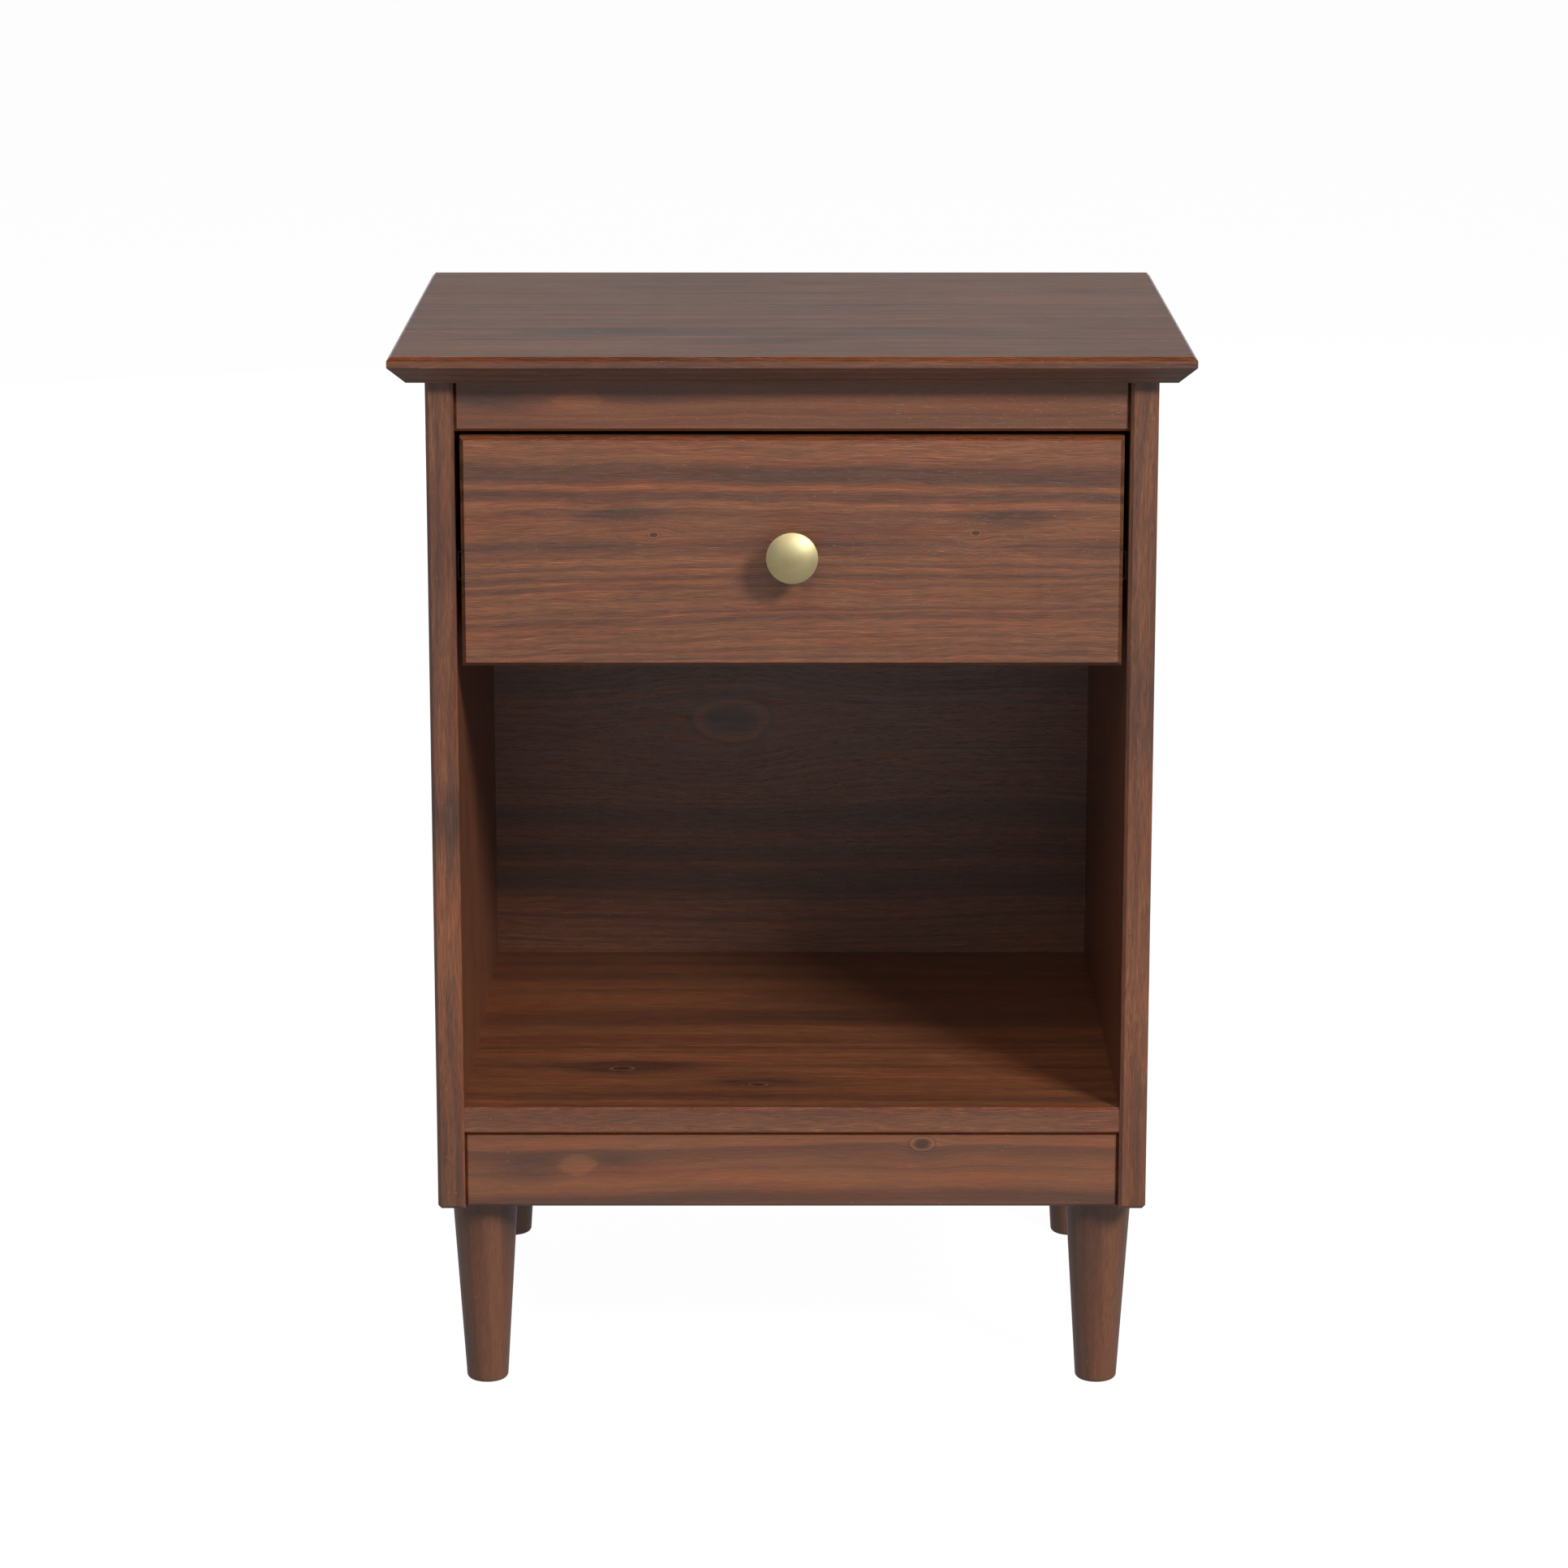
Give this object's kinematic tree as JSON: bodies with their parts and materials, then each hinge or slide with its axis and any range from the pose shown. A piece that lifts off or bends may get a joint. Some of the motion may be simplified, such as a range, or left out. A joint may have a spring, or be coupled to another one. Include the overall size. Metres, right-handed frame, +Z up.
{
  "type": "side table with drawer",
  "caption": "Small dark walnut side table with an overhanging bevelled top, one inset drawer with a round brass knob, an open compartment and tapered turned legs.",
  "frame": {"origin": "on the floor, under the middle of the overall box with the drawer shut", "axes": "+Z up, +Y to the back, +X to the right as seen from the front"},
  "size_m": [0.4572, 0.383, 0.6274],
  "materials": {
    "walnut": "dark walnut stain, satin lacquer",
    "drawer_wood": "clear satin lacquer",
    "hidden_wood": "unfinished softwood",
    "satin_brass": "satin brushed brass",
    "slide_steel": "black zinc, semi-gloss",
    "zinc_steel": "bright zinc plate",
    "bearing_steel": "polished",
    "beech": "plain turned beech"
  },
  "bodies": {
    "cabinet": {"top_panel": "walnut", "left_side_panel": "walnut", "right_side_panel": "walnut", "back_panel": "walnut", "bottom_shelf": "walnut", "upper_front_rail": "walnut", "lower_front_apron": "walnut", "front_left_leg": "walnut", "front_right_leg": "walnut", "rear_left_leg": "walnut", "rear_right_leg": "walnut", "upper_rear_rail": "hidden_wood", "lower_rear_rail": "hidden_wood", "left_top_cleat": "hidden_wood", "right_top_cleat": "hidden_wood", "front_left_corner_block": "hidden_wood", "front_right_corner_block": "hidden_wood", "rear_left_corner_block": "hidden_wood", "rear_right_corner_block": "hidden_wood", "left_slide_cabinet_member": "slide_steel", "right_slide_cabinet_member": "slide_steel", "slide_cabinet_screws": "zinc_steel", "back_panel_screws": "zinc_steel", "top_fixing_screws": "zinc_steel", "cleat_screws": "zinc_steel", "corner_block_screws": "zinc_steel", "leg_hanger_bolts": "zinc_steel", "leg_inserts": "zinc_steel", "carcass_dowels": "beech"},
    "drawer": {"drawer_front": "walnut", "left_drawer_side": "drawer_wood", "right_drawer_side": "drawer_wood", "drawer_back": "drawer_wood", "drawer_bottom": "drawer_wood", "drawer_dowels": "beech", "drawer_box_screws": "zinc_steel", "knob": "satin_brass", "knob_screw": "zinc_steel", "left_slide_drawer_member": "slide_steel", "right_slide_drawer_member": "slide_steel", "slide_drawer_screws": "zinc_steel"},
    "left_ball_cage": {"left_slide_ball_cage": "zinc_steel", "left_slide_balls": "bearing_steel"},
    "right_ball_cage": {"right_slide_ball_cage": "zinc_steel", "right_slide_balls": "bearing_steel"}
  },
  "joints": [
    {"name": "drawer_slide", "type": "slide", "parent": "cabinet", "child": "drawer", "axis": [0, -1, 0], "range_m": [0, 0.225]},
    {"name": "left_cage_slide", "type": "slide", "parent": "cabinet", "child": "left_ball_cage", "axis": [0, -1, 0], "range_m": [0, 0.1125]},
    {"name": "right_cage_slide", "type": "slide", "parent": "cabinet", "child": "right_ball_cage", "axis": [0, -1, 0], "range_m": [0, 0.1125]}
  ],
  "couplings": [
    {"joint": "left_cage_slide", "follows": "drawer_slide", "ratio": 0.5},
    {"joint": "right_cage_slide", "follows": "drawer_slide", "ratio": 0.5}
  ]
}
